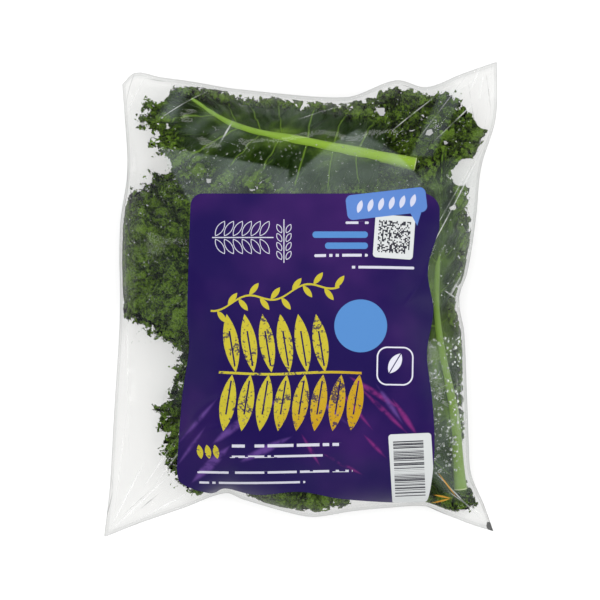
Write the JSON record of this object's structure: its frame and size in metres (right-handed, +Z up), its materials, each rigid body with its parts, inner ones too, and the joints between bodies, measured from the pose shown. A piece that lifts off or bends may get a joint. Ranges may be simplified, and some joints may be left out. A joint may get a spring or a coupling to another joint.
{
  "type": "bagged curly kale",
  "caption": "Clear pillow bag of curly kale leaves, welded along its edges, lying on its back with a large printed label over the front film.",
  "frame": {"origin": "on the surface that the bag lies on, under the middle of its bounding box", "axes": "+Z up through the label, +Y towards the bag's top weld, +X towards the label's right side"},
  "size_m": [0.222, 0.268, 0.0604],
  "materials": {
    "kale_leaf": "satin",
    "clear_film": "gloss",
    "label_print": "gloss"
  },
  "bodies": {
    "root": {"film_bag": "clear_film", "front_label": "label_print", "leaf_back_left": "kale_leaf", "leaf_back_right": "kale_leaf", "leaf_bottom": "kale_leaf", "leaf_left": "kale_leaf", "leaf_lower_left": "kale_leaf", "leaf_right": "kale_leaf", "leaf_top": "kale_leaf", "leaf_upper_right": "kale_leaf"}
  },
  "joints": []
}
